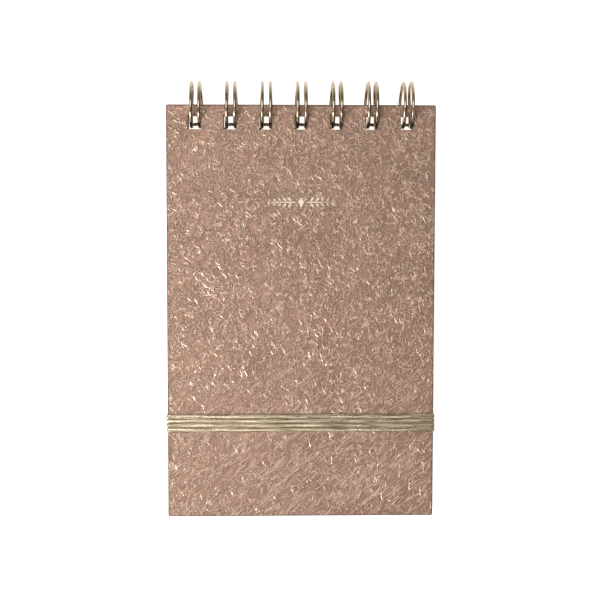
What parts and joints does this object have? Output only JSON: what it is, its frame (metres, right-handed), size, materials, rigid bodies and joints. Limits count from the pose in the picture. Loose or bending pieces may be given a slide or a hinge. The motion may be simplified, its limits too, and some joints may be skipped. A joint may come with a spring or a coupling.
{
  "type": "pocket notebook",
  "caption": "Top-bound pocket notebook with textured hard covers, a twin-loop wire along the top edge and a ribbed elastic band that holds it shut.",
  "frame": {"origin": "under the middle of the closed notebook, at the height of the lowest point of the wire loops", "axes": "+Z out of the front cover, +Y towards the wire, +X to the right when the front cover is seen with the wire at the top"},
  "size_m": [0.0976, 0.1579, 0.017],
  "materials": {
    "cover_paper": "embossed metallic paper, rose copper, satin, with crinkled fibre lines",
    "grey_board": "uncoated grey board",
    "lining_paper": "smooth matt pasted lining",
    "leaf_paper": "uncoated writing paper, cream",
    "binding_wire": "champagne coated wire, glossy",
    "elastic": "metallic gold braid over elastic",
    "clip_metal": "bright pressed metal"
  },
  "bodies": {
    "book_back": {"back_wrap": "cover_paper", "back_board": "grey_board", "back_lining": "lining_paper", "twin_loop_wire": "binding_wire", "rear_leaves_1": "leaf_paper", "rear_leaves_2": "leaf_paper", "rear_leaves_3": "leaf_paper", "rear_leaves_4": "leaf_paper", "rear_leaves_5": "leaf_paper"},
    "middle_leaves": {"middle_leaves_1": "leaf_paper"},
    "front_leaves": {"front_leaves_1": "leaf_paper", "front_leaves_2": "leaf_paper", "front_leaves_3": "leaf_paper", "front_leaves_4": "leaf_paper", "front_leaves_5": "leaf_paper"},
    "front_cover": {"front_wrap": "cover_paper", "front_board": "grey_board", "front_lining": "lining_paper"},
    "elastic_band": {"elastic_cord_1": "elastic", "elastic_cord_2": "elastic", "elastic_cord_3": "elastic", "elastic_cord_4": "elastic", "band_clip": "clip_metal"}
  },
  "joints": [
    {"name": "middle_leaves_turn", "type": "hinge", "parent": "book_back", "child": "middle_leaves", "pos_m": [0, 0.07037, 0.0086], "axis": [-1, 0, 0], "range_deg": [0, 180]},
    {"name": "front_leaves_turn", "type": "hinge", "parent": "middle_leaves", "child": "front_leaves", "pos_m": [0, 0.07037, 0.0086], "axis": [-1, 0, 0], "range_deg": [0, 180]},
    {"name": "front_cover_turn", "type": "hinge", "parent": "front_leaves", "child": "front_cover", "pos_m": [0, 0.07037, 0.0086], "axis": [-1, 0, 0], "range_deg": [0, 180]},
    {"name": "elastic_band_slide", "type": "slide", "parent": "book_back", "child": "elastic_band", "axis": [0, -1, 0], "range_m": [0, 0.045], "deforming": ["elastic_cord_1", "elastic_cord_2", "elastic_cord_3", "elastic_cord_4"]}
  ]
}
